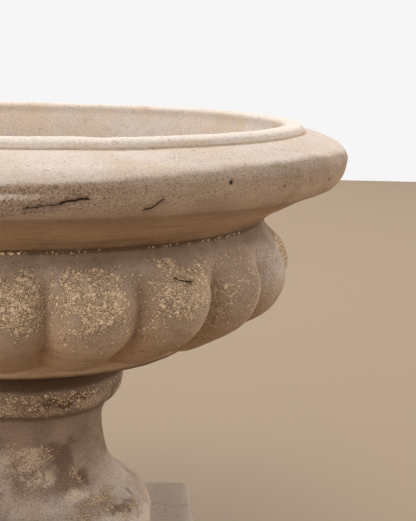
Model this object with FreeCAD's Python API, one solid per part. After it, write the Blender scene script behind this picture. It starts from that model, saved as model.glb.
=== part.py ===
import FreeCAD, Part

import math
import os

from FreeCAD import Vector

# Urn planter: a cast stone bowl with gadroons, on a turned pedestal and a square plinth.
# Millimetres. +Z is up, the axis of the urn is the Z axis, and the floor is Z = 0.
# The plinth's sides lie along X and Y, and a gadroon faces straight along -Y.

# ---------------------------------------------------------------- driving dimensions

# feet and plinth
pad_thickness = 3.0
pad_radius = 15.0
pad_margin = 11.0               # from the plinth's side to a pad
plinth_side = 286.0
plinth_height = 38.0
plinth_corner_radius = 11.0
plinth_edge_radius = 6.5
recess_clearance = 6.0          # round the lower washer, for a socket spanner
recess_spare_depth = 2.5        # below the end of the tie rod
weep_hole_radius = 5.5
weep_hole_count = 3
weep_hole_margin = 3.5          # from the recess to a weep hole

# pedestal, from the foot up to the collar
foot_radius = 102.6
foot_band_height = 35.0         # upright side of the foot
foot_shoulder_height = 25.0
foot_shoulder_width = 20.5
flare_height = 33.0
flare_radius = 62.3             # where the flare runs into the waist
waist_radius = 60.0
waist_height = 20.0
throat_height = 21.5
throat_radius = 67.5            # under the collar
collar_radius = 77.0
collar_lower_height = 14.5
collar_upper_height = 21.0
collar_top_margin = 4.5         # the collar's top stands out past the bowl's seat
pedestal_wall = 18.5
hollow_step_height = 6.0        # the hollow starts to narrow this far below the foot band's top

# bowl, from the seat up to the lip
seat_radius = 62.0
seat_height = 14.6
fillet_ring_height = 9.8
fillet_ring_setback = 13.6      # from the lobes' flat underside to the ring
fillet_ring_taper = 1.6
lobe_count = 20
lobe_projection = 21.4          # the crest of a lobe stands out past the band
lobe_section_radius = 41.6      # round back of a lobe, cut across
lobe_upper_radius = 30.0        # crest line above the widest point
lobe_lower_radius = 43.0        # crest line below it
lobe_under_radius = 30.0        # crest line where it turns level
lobe_under_run = 30.0           # straight part between those two
lobe_under_slope = 28.7         # degrees below level
lobe_root_depth = 15.5          # crest to the round core behind the lobes
lobe_upper_turn = 100.0         # degrees of the upper crest arc, which ends inside the core
lobe_overlap = 4.0              # how far the underside of a lobe runs in past the fillet ring
fillet_ring_edge = 2.0
band_height = 6.3
band_lean = 1.5                 # the band is wider at its foot than at the seam
rim_overhang = 64.5             # the rim stands out past the seam
cove_height = 14.0
cove_width = 19.5
soffit_height = 16.4            # sloping underside of the rim
rim_radius = 254.0
nose_lower_height = 10.6
nose_lower_width = 6.9
nose_height = 9.8
nose_width = 1.6
roll_outer_height = 11.4
roll_outer_width = 10.5
roll_top_height = 6.6
roll_top_width = 23.7
lip_side_height = 3.2
lip_width = 16.8
lip_crest_height = 3.9
lip_side_slant = 0.8
lip_inner_drop = 1.0
bowl_wall = 17.5
bowl_floor_thickness = 22.0
bowl_floor_share = 0.62         # radius of the flat floor over the inner radius of the wall

# how far the middle of each curved stretch stands out from its chord, or in where it is hollow
band_bulge = 0.4
cove_hollow = 1.6
soffit_hollow = 0.8
nose_lower_bulge = 1.0
nose_bulge = 0.2
roll_outer_bulge = 2.1
roll_top_bulge = 1.6
lip_outer_bulge = 1.6
lip_inner_bulge = 2.0
inner_floor_bulge = 10.0
inner_wall_bulge = 1.5
inner_shoulder_bulge = 4.0
foot_shoulder_bulge = 4.2
flare_hollow = 3.6
waist_hollow = 0.4
throat_hollow = 2.4
collar_lower_bulge = 2.4
collar_upper_bulge = 4.0
pedestal_bore_hollow = 2.0

# tie rod and what it clamps
rod_radius = 6.0
rod_hole_clearance = 1.0
rod_top_length = 5.0            # thread past the upper nut
rod_bottom_length = 2.5         # thread past the lower nut
rod_chamfer = 1.0
nut_across_flats = 19.0
nut_height = 10.0
nut_face_share = 0.95           # diameter of a nut's flat end over its width across flats
nut_rounding_width = 3.0
nut_rounding_height = 2.0
washer_radius = 18.0
washer_thickness = 3.0
seal_washer_thickness = 3.0
gasket_thickness = 2.0
gasket_inset = 1.5
gasket_width = 12.0

# drain hole and its plug
drain_hole_radius = 9.0
plug_clearance = 0.3
plug_flange_width = 3.5
plug_flange_thickness = 3.0
plug_length = 26.0
plug_taper = 0.8
plug_flange_bulge = 0.8
plug_flange_gap = 0.8           # between the plug's flange and the washers on the bowl's floor
plug_grip_radius = 4.5
plug_grip_height = 12.0
plug_grip_neck = 1.0            # how much slimmer the grip is at half its height
plug_grip_bulge = 1.0

# ---------------------------------------------------------------- heights and radii worked out from them

recess_depth = washer_thickness + nut_height + rod_bottom_length + recess_spare_depth
plinth_bottom = pad_thickness
plinth_top = plinth_bottom + plinth_height
recess_top = plinth_bottom + recess_depth
foot_bottom = plinth_top + gasket_thickness
foot_band_top = foot_bottom + foot_band_height
foot_shoulder_top = foot_band_top + foot_shoulder_height
flare_top = foot_shoulder_top + flare_height
waist_top = flare_top + waist_height
throat_top = waist_top + throat_height
collar_middle = throat_top + collar_lower_height
collar_top = collar_middle + collar_upper_height
seat_bottom = collar_top + gasket_thickness
ring_bottom = seat_bottom + seat_height
lobes_bottom = ring_bottom + fillet_ring_height

under_slope = math.radians(lobe_under_slope)
lower_turn = math.pi / 2 - under_slope
under_rise = lobe_under_radius * (1 - math.cos(under_slope))
under_reach = lobe_under_radius * math.sin(under_slope)
run_rise = lobe_under_run * math.sin(under_slope)
run_reach = lobe_under_run * math.cos(under_slope)
lower_rise = lobe_lower_radius * math.sin(lower_turn)
lower_reach = lobe_lower_radius * (1 - math.cos(lower_turn))

lobes_middle = lobes_bottom + under_rise + run_rise + lower_rise
lobes_top = lobes_middle + math.sqrt(lobe_upper_radius ** 2 - (lobe_upper_radius - lobe_projection) ** 2)
seam_height = lobes_top + band_height
cove_top = seam_height + cove_height
soffit_top = cove_top + soffit_height
nose_bottom = soffit_top + nose_lower_height
nose_top = nose_bottom + nose_height
roll_outer_top = nose_top + roll_outer_height
roll_top = roll_outer_top + roll_top_height
lip_side_top = roll_top + lip_side_height
lip_crest = lip_side_top + lip_crest_height
floor_top = ring_bottom + bowl_floor_thickness

seam_radius = rim_radius - rim_overhang
band_radius = seam_radius + band_lean
lobe_radius = band_radius + lobe_projection
lobes_inner_radius = lobe_radius - lower_reach - run_reach - under_reach
fillet_ring_radius = lobes_inner_radius - fillet_ring_setback
nose_outer_radius = rim_radius - nose_width
nose_inner_radius = nose_outer_radius - nose_lower_width
roll_outer_radius = rim_radius - roll_outer_width
lip_outer_radius = roll_outer_radius - roll_top_width
lip_inner_radius = lip_outer_radius - lip_width
cove_outer_radius = seam_radius + cove_width
rod_hole_radius = rod_radius + rod_hole_clearance
collar_bore_radius = waist_radius - pedestal_wall
collar_top_radius = seat_radius + collar_top_margin
recess_radius = washer_radius + recess_clearance
weep_circle_radius = recess_radius + weep_hole_margin + weep_hole_radius
plug_stem_radius = drain_hole_radius - plug_clearance
plug_flange_radius = plug_stem_radius + plug_flange_width
drain_offset = washer_radius + plug_flange_gap + plug_flange_radius

UP = Vector(0, 0, 1)
ORIGIN = Vector(0, 0, 0)


# ---------------------------------------------------------------- drawing helpers

class Outline:
    """A closed outline in the plane Y = 0, drawn as (radius, height) points."""

    def __init__(self, radius, height):
        self.start = Vector(radius, 0, height)
        self.here = self.start
        self.edges = []

    def line(self, radius, height):
        there = Vector(radius, 0, height)
        if there.distanceToPoint(self.here) > 1e-6:
            self.edges.append(Part.makeLine(self.here, there))
        self.here = there
        return self

    def arc(self, radius, height, bulge):
        """A circular arc; bulge is how far its middle stands to the left of the chord."""
        there = Vector(radius, 0, height)
        chord = there - self.here
        left = Vector(-chord.z, 0, chord.x)
        left.normalize()
        middle = (self.here + there) * 0.5 + left * bulge
        self.edges.append(Part.Arc(self.here, middle, there).toShape())
        self.here = there
        return self

    def turned(self):
        """The solid that the outline sweeps round the Z axis."""
        self.line(self.start.x, self.start.z)
        return Part.Face(Part.Wire(self.edges)).revolve(ORIGIN, UP, 360)


def disc(radius, bottom, height, x=0.0, y=0.0):
    return Part.makeCylinder(radius, height, Vector(x, y, bottom), UP)


def ring(outer_radius, inner_radius, bottom, height):
    return disc(outer_radius, bottom, height).cut(disc(inner_radius, bottom, height))


def around(radius, count, first_angle=0.0):
    """(x, y) of points evenly spaced on a circle, first_angle in degrees."""
    angles = [math.radians(first_angle + 360.0 * i / count) for i in range(count)]
    return [(radius * math.cos(a), radius * math.sin(a)) for a in angles]


def hexagon(across_flats, bottom, height):
    corners = [Vector(x, y, bottom) for x, y in around(across_flats / math.sqrt(3), 6)]
    corners.append(corners[0])
    return Part.Face(Part.makePolygon(corners)).extrude(UP * height)


# ---------------------------------------------------------------- bowl

def lobe():
    """One gadroon on the +X side: a round-backed bar bent along the crest line."""
    section_centre = lobe_radius - lobe_section_radius
    upper_centre = Vector(lobe_radius - lobe_upper_radius, 0, lobes_middle)
    lower_centre = Vector(lobe_radius - lobe_lower_radius, 0, lobes_middle)
    under_centre = Vector(lobes_inner_radius, 0, lobes_bottom + lobe_under_radius)
    chord_radius = upper_centre.x + 1e-3
    half_width = math.sqrt(lobe_section_radius ** 2 - (chord_radius - section_centre) ** 2)
    left = Vector(chord_radius, -half_width, lobes_middle)
    right = Vector(chord_radius, half_width, lobes_middle)
    crest = Vector(lobe_radius, 0, lobes_middle)
    back = Part.Arc(left, crest, right).toShape()
    section = Part.Face(Part.Wire([back, Part.makeLine(right, left)]))

    bend_up = Vector(0, -1, 0)
    bend_down = Vector(0, 1, 0)
    upper = section.revolve(upper_centre, bend_up, lobe_upper_turn)
    lower = section.revolve(lower_centre, bend_down, math.degrees(lower_turn))

    section = section.copy()
    section.rotate(lower_centre, bend_down, math.degrees(lower_turn))
    along = Vector(-math.cos(under_slope), 0, -math.sin(under_slope))
    run = section.extrude(along * lobe_under_run)

    section = section.copy()
    section.translate(along * lobe_under_run)
    under = section.revolve(under_centre, bend_down, lobe_under_slope)

    section = section.copy()
    section.rotate(under_centre, bend_down, lobe_under_slope)
    level = section.extrude(Vector(-fillet_ring_setback - lobe_overlap, 0, 0))
    return upper.multiFuse([lower, run, under, level]).removeSplitter()


def bowl_body():
    """The turned core: seat, fillet ring, core behind the lobes, band, cove and rim."""
    depth = lobe_root_depth
    core_bottom = lobes_bottom + depth
    body = Outline(0, seat_bottom)
    body.line(seat_radius, seat_bottom)
    body.line(seat_radius, ring_bottom)
    body.line(fillet_ring_radius - fillet_ring_taper, ring_bottom)
    body.line(fillet_ring_radius, lobes_bottom + fillet_ring_edge)
    body.line(lobes_inner_radius, core_bottom)
    core_radius = lobe_lower_radius - depth
    below = Vector(lobe_radius - lobe_lower_radius, 0, lobes_middle)
    body.line(below.x + core_radius * math.cos(lower_turn), below.z - core_radius * math.sin(lower_turn))
    body.arc(lobe_radius - depth, lobes_middle, -core_radius * (1 - math.cos(lower_turn / 2)))
    body.line(band_radius, lobes_top)
    body.arc(seam_radius, seam_height, -band_bulge)
    body.arc(cove_outer_radius, cove_top, cove_hollow)
    body.arc(nose_inner_radius, soffit_top, soffit_hollow)
    body.arc(nose_outer_radius, nose_bottom, -nose_lower_bulge)
    body.arc(rim_radius, nose_top, -nose_bulge)
    body.arc(roll_outer_radius, roll_outer_top, -roll_outer_bulge)
    body.arc(lip_outer_radius, roll_top, -roll_top_bulge)
    body.line(lip_outer_radius - lip_side_slant, lip_side_top)
    body.arc(lip_outer_radius - lip_width / 2, lip_crest, -lip_outer_bulge)
    body.arc(lip_inner_radius, lip_side_top - lip_inner_drop, -lip_inner_bulge)
    body.line(0, lip_side_top - lip_inner_drop)
    return body.turned()


def bowl_hollow():
    """The space for the soil, from the floor up past the lip."""
    middle_radius = lobe_radius - lobe_root_depth - bowl_wall
    corner_radius = (seam_radius - bowl_wall) * bowl_floor_share
    above_lip = lip_crest + bowl_wall
    hollow = Outline(0, floor_top)
    hollow.line(corner_radius, floor_top)
    hollow.arc(middle_radius, lobes_middle, -inner_floor_bulge)
    hollow.arc(seam_radius - bowl_wall, seam_height, -inner_wall_bulge)
    hollow.arc(lip_inner_radius, roll_top, inner_shoulder_bulge)
    hollow.line(lip_inner_radius, above_lip)
    hollow.line(0, above_lip)
    return hollow.turned()


def make_bowl():
    first = lobe()
    lobes = []
    for i in range(lobe_count):
        copy = first.copy()
        copy.rotate(ORIGIN, UP, -90.0 + 360.0 * i / lobe_count)
        lobes.append(copy)
    body = bowl_body().multiFuse(lobes)
    body = body.cut(bowl_hollow())
    holes = [disc(rod_hole_radius, seat_bottom, floor_top - seat_bottom),
             disc(drain_hole_radius, seat_bottom, floor_top - seat_bottom, 0.0, -drain_offset)]
    return body.cut(holes)


# ---------------------------------------------------------------- pedestal and plinth

def make_pedestal():
    outside = Outline(0, foot_bottom)
    outside.line(foot_radius, foot_bottom)
    outside.line(foot_radius, foot_band_top)
    outside.arc(foot_radius - foot_shoulder_width, foot_shoulder_top, -foot_shoulder_bulge)
    outside.arc(flare_radius, flare_top, flare_hollow)
    outside.arc(waist_radius, waist_top, waist_hollow)
    outside.arc(throat_radius, throat_top, throat_hollow)
    outside.arc(collar_radius, collar_middle, -collar_lower_bulge)
    outside.arc(collar_top_radius, collar_top, -collar_upper_bulge)
    outside.line(0, collar_top)

    inside = Outline(0, foot_bottom)
    inside.line(foot_radius - pedestal_wall, foot_bottom)
    inside.line(foot_radius - pedestal_wall, foot_band_top - hollow_step_height)
    inside.arc(collar_bore_radius, flare_top, pedestal_bore_hollow)
    inside.line(collar_bore_radius, collar_top)
    inside.line(0, collar_top)
    return outside.turned().cut(inside.turned())


def make_plinth():
    half = plinth_side / 2
    slab = Part.makeBox(plinth_side, plinth_side, plinth_height, Vector(-half, -half, plinth_bottom))
    upright = [edge for edge in slab.Edges if abs(edge.tangentAt(edge.FirstParameter).z) > 0.9]
    slab = slab.makeFillet(plinth_corner_radius, upright)
    top = [edge for edge in slab.Edges if abs(edge.BoundBox.ZMin - plinth_top) < 1e-6]
    slab = slab.makeFillet(plinth_edge_radius, top)
    cuts = [disc(recess_radius, plinth_bottom, recess_depth),
            disc(rod_hole_radius, plinth_bottom, plinth_height)]
    for x, y in around(weep_circle_radius, weep_hole_count, 90.0):
        cuts.append(disc(weep_hole_radius, plinth_bottom, plinth_height, x, y))
    return slab.cut(cuts)


def make_foot_pads():
    offset = plinth_side / 2 - pad_margin - pad_radius
    return Part.makeCompound([disc(pad_radius, 0.0, pad_thickness, x, y)
                              for x in (-offset, offset) for y in (-offset, offset)])


# ---------------------------------------------------------------- tie rod and seals

lower_washer_bottom = recess_top - washer_thickness
lower_nut_bottom = lower_washer_bottom - nut_height
upper_washer_bottom = floor_top + seal_washer_thickness
upper_nut_bottom = upper_washer_bottom + washer_thickness
rod_bottom = lower_nut_bottom - rod_bottom_length
rod_top = upper_nut_bottom + nut_height + rod_top_length


def make_nut(bottom):
    nut = hexagon(nut_across_flats, bottom, nut_height)
    top = bottom + nut_height
    face_radius = nut_across_flats / 2 * nut_face_share
    rounding = Outline(0, bottom)
    rounding.line(face_radius, bottom)
    rounding.line(face_radius + nut_rounding_width, bottom + nut_rounding_height)
    rounding.line(face_radius + nut_rounding_width, top - nut_rounding_height)
    rounding.line(face_radius, top)
    rounding.line(0, top)
    return nut.common(rounding.turned()).cut(disc(rod_radius, bottom, nut_height))


def make_tie_rod():
    rod = disc(rod_radius, rod_bottom, rod_top - rod_bottom)
    ends = [edge for edge in rod.Edges if edge.Closed]
    return rod.makeChamfer(rod_chamfer, ends)


def make_drain_plug():
    seat = floor_top + plug_clearance
    grip_top = seat + plug_grip_height
    plug = Outline(0, seat - plug_length)
    plug.line(plug_stem_radius - plug_taper, seat - plug_length)
    plug.line(plug_stem_radius, seat)
    plug.line(plug_flange_radius, seat)
    plug.arc(plug_grip_radius, seat + plug_flange_thickness, -plug_flange_bulge)
    plug.line(plug_grip_radius - plug_grip_neck, seat + plug_grip_height / 2)
    plug.arc(plug_grip_radius / 2, grip_top, -plug_grip_bulge)
    plug.line(0, grip_top)
    plug = plug.turned()
    plug.translate(Vector(0, -drain_offset, 0))
    return plug


def make_gasket(outer_radius, bottom):
    outer = outer_radius - gasket_inset
    return ring(outer, outer - gasket_width, bottom, gasket_thickness)


parts = {
    "bowl": make_bowl(),
    "pedestal": make_pedestal(),
    "plinth": make_plinth(),
    "foot_pads": make_foot_pads(),
    "bowl_gasket": make_gasket(seat_radius, collar_top),
    "plinth_gasket": make_gasket(foot_radius, plinth_top),
    "tie_rod": make_tie_rod(),
    "upper_nut": make_nut(upper_nut_bottom),
    "upper_washer": ring(washer_radius, rod_hole_radius, upper_washer_bottom, washer_thickness),
    "seal_washer": ring(washer_radius, rod_radius, floor_top, seal_washer_thickness),
    "lower_washer": ring(washer_radius, rod_hole_radius, lower_washer_bottom, washer_thickness),
    "lower_nut": make_nut(lower_nut_bottom),
    "drain_plug": make_drain_plug(),
}

os.makedirs("parts", exist_ok=True)
for name, shape in parts.items():
    shape.exportStep("parts/" + name + ".step")
    print(name, "solids", len(shape.Solids), "valid", shape.isValid(), "volume %.0f" % shape.Volume)
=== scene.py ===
"""Urn planter in weathered cast stone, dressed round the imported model.

A rolled rim, a gadrooned bowl, a turned pedestal and a square plinth, each as its own mesh.
Lengths are millimetres until a mesh is made, angles are degrees, azimuth -90 faces the front,
and heights are measured from the floor.
"""
import math
from functools import partialmethod

import bpy
import numpy as np
from mathutils import Matrix, Vector
from mathutils.geometry import delaunay_2d_cdt


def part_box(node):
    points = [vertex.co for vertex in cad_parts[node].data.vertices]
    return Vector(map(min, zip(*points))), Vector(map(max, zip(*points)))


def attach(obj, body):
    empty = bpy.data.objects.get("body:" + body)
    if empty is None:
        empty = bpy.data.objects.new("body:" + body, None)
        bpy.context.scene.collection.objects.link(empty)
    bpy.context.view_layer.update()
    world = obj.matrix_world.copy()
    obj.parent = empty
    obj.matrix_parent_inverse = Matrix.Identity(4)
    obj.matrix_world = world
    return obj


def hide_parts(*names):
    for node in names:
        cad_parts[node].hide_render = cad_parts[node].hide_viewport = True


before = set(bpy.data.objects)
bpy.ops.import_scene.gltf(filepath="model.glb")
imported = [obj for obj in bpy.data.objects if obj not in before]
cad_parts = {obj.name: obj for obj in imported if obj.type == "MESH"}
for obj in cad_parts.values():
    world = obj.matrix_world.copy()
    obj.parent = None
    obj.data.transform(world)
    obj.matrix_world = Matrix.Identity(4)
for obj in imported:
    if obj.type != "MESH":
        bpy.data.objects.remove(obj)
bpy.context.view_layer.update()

MM = 0.001
FRONT = -90.0  # azimuth of the front
WARM_SIDE = -30.0  # azimuth where the rim is warmest and least pale
ROD_SIDES = 40  # sides of each round hole
DRAIN_SIDES = 48
RECESS_SIDES = 64
WEEP_SIDES = 24

# ---- sizes read from the model

def box_mm(node):
    low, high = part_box(node)
    return [v / MM for v in low], [v / MM for v in high]


bowl_low, bowl_high = box_mm("bowl")
pedestal_low, pedestal_high = box_mm("pedestal")
plinth_low, plinth_high = box_mm("plinth")
rod_low, rod_high = box_mm("tie_rod")
plug_low, plug_high = box_mm("drain_plug")

RIM = bowl_high[0]  # radius of the rim's widest ring
SEAT = bowl_low[2]  # underside of the bowl
FOOT = pedestal_low[2]
COLLAR = pedestal_high[2]
PLINTH_HALF = plinth_high[0]

# ---- sizes of the bowl

LIP_INNER = RIM - 51.0
LIP_CREST = RIM - 42.6
LIP_OUTER = RIM - 34.2
ROLL_OUTER = RIM - 10.5
NOSE_BOTTOM = RIM - 1.6
NOSE_INNER = RIM - 8.5
COVE_OUTER = RIM - 45.0
SEAM = RIM - 64.5
BAND = RIM - 63.0
LOBE_CREST = RIM - 41.6
WALL = 17.5

SEAM_Z = SEAT + 115.2
BAND_Z = SEAT + 107.6
LOBE_Z = SEAT + 80.2  # height of the widest points of the lobes
COVE_Z = SEAT + 129.2
SOFFIT_Z = SEAT + 145.6
NOSE_LOW_Z = SEAT + 156.2
NOSE_Z = SEAT + 166.0
ROLL_OUTER_Z = SEAT + 177.4
ROLL_Z = SEAT + 184.0
LIP_SIDE_Z = SEAT + 187.2
LIP_Z = SEAT + 191.1
FLOOR_Z = SEAT + 36.6  # the bowl's floor, inside
FLOOR_RADIUS = 106.6

LOBES = 20
LOBE_PITCH = math.tau / LOBES
LOBE_SECTION = 41.6  # radius of a lobe's round back, cut across
LOBE_LOWER = 43.0  # radius of the crest line under its widest point
LOBE_RUN = 30.0
LOBE_SLOPE = math.radians(28.7)
LOBE_UNDER = 30.0
RING_Z = SEAT + 14.1
RING_TOP_Z = SEAT + 23.2
RING = 135.7  # radius of the fillet ring under the lobes
SEAT_RADIUS = 62.0
ROD_HOLE = 7.0
DRAIN_HOLE = 9.0
DRAIN_Y = 0.5 * (plug_low[1] + plug_high[1])


# ---- noise on arrays of points

def smooth(low, high, value):
    t = np.clip((value - low) / (high - low), 0.0, 1.0)
    return t * t * (3.0 - 2.0 * t)


def scatter(cell, seed):
    """A random number from 0 to 1 for each whole-number cell, made by mixing its bits with large
    odd numbers."""
    mask = np.int64(0xFFFFFFFF)
    x, y, z = (cell[..., k] for k in range(3))
    h = (x * 73856093 ^ y * 19349663 ^ z * 83492791 ^ seed * 2654435761) & mask
    h = ((h ^ (h >> 15)) * 2246822519) & mask
    h = ((h ^ (h >> 13)) * 3266489917) & mask
    return ((h ^ (h >> 16)) & 0xFFFFFF) / float(0x1000000)


def value_noise(points, size, seed):
    """Smooth noise from -1 to 1 with features of about that size."""
    p = points / size
    cell = np.floor(p).astype(np.int64)
    t = p - cell
    t = t * t * t * (t * (t * 6.0 - 15.0) + 10.0)
    total = np.zeros(points.shape[:-1])
    for corner in np.ndindex(2, 2, 2):
        weight = np.ones_like(total)
        for axis, side in enumerate(corner):
            weight = weight * (t[..., axis] if side else 1.0 - t[..., axis])
        total += weight * scatter(cell + np.array(corner, np.int64), seed)
    return total * 2.0 - 1.0


def fractal(points, size, octaves, seed):
    total = 0.0
    for k in range(octaves):
        total = total + value_noise(points, size / 2 ** k, seed + 7 * k) * 0.5 ** k
    return total


def nearest_spot(points, size, seed):
    """Distance to the nearest scattered spot, in cell sizes, and that spot's random number."""
    p = points / size
    cell = np.floor(p).astype(np.int64)
    best = np.full(points.shape[:-1], 9.0)
    mark = np.zeros_like(best)
    for step in np.ndindex(3, 3, 3):
        there = cell + np.array(step, np.int64) - 1
        spot = there + np.stack([scatter(there, seed + k) for k in range(3)], axis=-1)
        distance = np.linalg.norm(spot - p, axis=-1)
        closer = distance < best
        best = np.where(closer, distance, best)
        mark = np.where(closer, scatter(there, seed + 5), mark)
    return best, mark


def softened(values, rounds):
    """Values along the first axis, each evened out with its neighbours; the ends stay."""
    for _ in range(rounds):
        middle = 0.25 * values[:-2] + 0.5 * values[1:-1] + 0.25 * values[2:]
        values = np.concatenate([values[:1], middle, values[-1:]])
    return values


def stretch(value, first, last, edge):
    """1 between first and last, falling to 0 over edge outside them."""
    return smooth(first - edge, first, value) * (1.0 - smooth(last, last + edge, value))


def facing(azimuth, towards, turns=1.0):
    """1 at the azimuth towards, falling to -1 and back turns times round the axis."""
    return np.cos(np.radians(turns * (azimuth - towards)))


def uneven(base, *layers):
    """Relief in millimetres. Each layer is its height, the size of its features, octaves, seed."""
    return sum(tall * fractal(base, size, octaves, seed) for tall, size, octaves, seed in layers)


def patch(azimuth, height, where, size):
    """A soft spot on the surface: where is (azimuth, height), size its half width in degrees and
    its half height."""
    across = turned_by(azimuth, where[0]) / size[0]
    up = (height - where[1]) / size[1]
    return np.exp(-(across ** 2 + up ** 2) ** 1.5)


def patches(base, places, seed):
    """Soft spots with wandering edges. Each place is azimuth, height, half width, half height."""
    azimuth = azimuth_of(base) + 6.0 * fractal(base, 20.0, 3, seed)
    height = base[..., 2] + 4.5 * fractal(base, 16.0, 3, seed + 1)
    best = np.zeros_like(height)
    for place, level, wide, tall in places:
        best = np.maximum(best, patch(azimuth, height, (place, level), (wide, tall)))
    return best


def distance_to_line(azimuth, height, radius, corners):
    """Millimetres on the surface from each point to a line of (azimuth, height) corners,
    and which side of the line it is on."""
    best = np.full(azimuth.shape, np.inf)
    side = np.ones(azimuth.shape)
    for (a0, z0), (a1, z1) in zip(corners[:-1], corners[1:]):
        x = np.radians(turned_by(azimuth, a0)) * radius
        z = height - z0
        dx = math.radians(a1 - a0) * radius
        dz = z1 - z0
        t = np.clip((x * dx + z * dz) / (dx * dx + dz * dz), 0.0, 1.0)
        distance = np.hypot(x - t * dx, z - t * dz)
        side = np.where(distance < best, np.sign(z * dx - x * dz), side)
        best = np.minimum(best, distance)
    return best, side


# ---- outlines and meshes

class Path:
    """Points (radius, height) along lines and arcs, evenly spaced within each stretch."""

    STRAIGHT = 1e-6  # an arc with less bulge is a line

    def __init__(self, radius, height):
        self.points = [np.array((radius, height), float)]

    def run(self, *stretches):
        """Each stretch is the radius and height where it ends, its bulge and its spacing."""
        for stretch in stretches:
            self.arc(*stretch)

    def arc(self, radius, height, bulge, spacing):
        """bulge is how far the middle of the arc stands to the left of its chord."""
        a = self.points[-1]
        b = np.array((radius, height), float)
        chord = b - a
        length = float(np.hypot(*chord))
        steps = max(1, round(length / spacing))
        left = np.array((-chord[1], chord[0])) / length
        for i in range(1, steps + 1):
            t = i / steps
            if abs(bulge) < self.STRAIGHT:
                self.points.append(a + chord * t)
                continue
            half = 2.0 * math.atan(2.0 * bulge / length)
            reach = length / (2.0 * math.sin(half))
            angle = half * (2.0 * t - 1.0)
            along = reach * math.sin(angle)
            across = reach * (math.cos(angle) - math.cos(half))
            self.points.append(a + chord * (0.5 + along / length) + left * across)


def columns(radius, stretches):
    """Angles in radians once round the axis. Each stretch is the azimuth where it starts and its
    spacing in millimetres at that radius; the last one runs on to the first."""
    starts = [math.radians(azimuth) for azimuth, _ in stretches]
    ends = starts[1:] + [starts[0] + math.tau]
    return np.concatenate([np.linspace(a, b, round((b - a) * radius / spacing), endpoint=False)
                           for a, b, (_, spacing) in zip(starts, ends, stretches)])


def surface_normals(points):
    """Unit normals of a grid of rows by columns that is closed round its columns.
    They point outwards where the rows run down the outside."""
    along = np.gradient(points, axis=0)
    around = np.roll(points, -1, axis=1) - np.roll(points, 1, axis=1)
    normal = np.cross(along, around)
    normal /= np.maximum(np.linalg.norm(normal, axis=-1, keepdims=True), 1e-12)
    return normal


def turned_rows(radius, height, angles):
    """A grid of points: each row's radius and height, turned to every angle."""
    level = np.broadcast_to(height, np.broadcast_shapes(radius.shape, (1, len(angles))))
    return np.stack([radius * np.cos(angles), radius * np.sin(angles), level], -1)


def linked(name, data):
    """A new object in the scene."""
    obj = bpy.data.objects.new(name, data)
    bpy.context.scene.collection.objects.link(obj)
    return obj


def at_height(points, height):
    return np.column_stack([points, np.full(len(points), height)])


def ring_steps(count):
    """Each place in a ring of that many, and the place after it."""
    here = np.arange(count)
    return here, (here + 1) % count


def circle_points(radius, count, x=0.0, y=0.0):
    a = np.linspace(0.0, math.tau, count, endpoint=False)
    return np.stack([x + radius * np.cos(a), y + radius * np.sin(a)], -1)


def fill_flat(outer, holes, spacing):
    """Points and triangles of a flat convex region with round holes, each given as x, y, radius and
    sides. The outline's points come first, then each hole's, then the points inside."""
    triangle_height = 0.8660254  # of a triangle with three sides of 1
    clear = 0.6 * spacing  # how far the points inside keep from an edge
    block = 200  # edges of the outline that are measured at a time
    tolerance = 1e-7
    loops = [outer] + [circle_points(r, n, x, y) for x, y, r, n in holes]
    reach = np.abs(outer).max()
    steps = np.arange(-reach, reach + spacing, spacing)
    gx, gy = np.meshgrid(steps, steps * triangle_height)
    gx = gx + 0.5 * spacing * (np.arange(len(steps)) % 2)[:, None]
    inside = np.stack([gx.ravel(), gy.ravel()], -1)
    edge = np.roll(outer, -1, axis=0) - outer
    edge_length = np.linalg.norm(edge, axis=1)
    margin = np.full(len(inside), np.inf)
    for start in range(0, len(outer), block):
        part = slice(start, start + block)
        offset = inside[:, None] - outer[None, part]
        cross = edge[None, part, 0] * offset[..., 1] - edge[None, part, 1] * offset[..., 0]
        margin = np.minimum(margin, (cross / edge_length[None, part]).min(1))
    keep = margin > clear
    for x, y, r, _ in holes:
        keep &= np.hypot(inside[:, 0] - x, inside[:, 1] - y) > r + clear
    inside = inside[keep]
    points = np.concatenate(loops + [inside])
    edges = []
    start = 0
    for loop in loops:
        edges += [(start + i, start + (i + 1) % len(loop)) for i in range(len(loop))]
        start += len(loop)
    found = delaunay_2d_cdt([tuple(p) for p in points], edges, [], 0, tolerance, True)
    source = [ids[0] if ids else -1 for ids in found[3]]
    triangles = np.array([[source[v] for v in face] for face in found[2]])
    middle = points[triangles].mean(1)
    keep = np.ones(len(triangles), bool)
    for x, y, r, n in holes:
        keep &= np.hypot(middle[:, 0] - x, middle[:, 1] - y) > r * math.cos(math.pi / n)
    triangles = triangles[keep]
    a, b, c = (points[triangles[:, k]] for k in range(3))
    clockwise = np.cross(b - a, c - a) < 0
    triangles[clockwise] = triangles[clockwise][:, ::-1]
    return points, triangles


def kept_at_ends(count, rows):
    """1 for each row, falling to 0 at the first and the last, which flat faces join."""
    index = np.arange(count)
    return smooth(0.0, rows, np.minimum(index, count - 1 - index))


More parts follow.
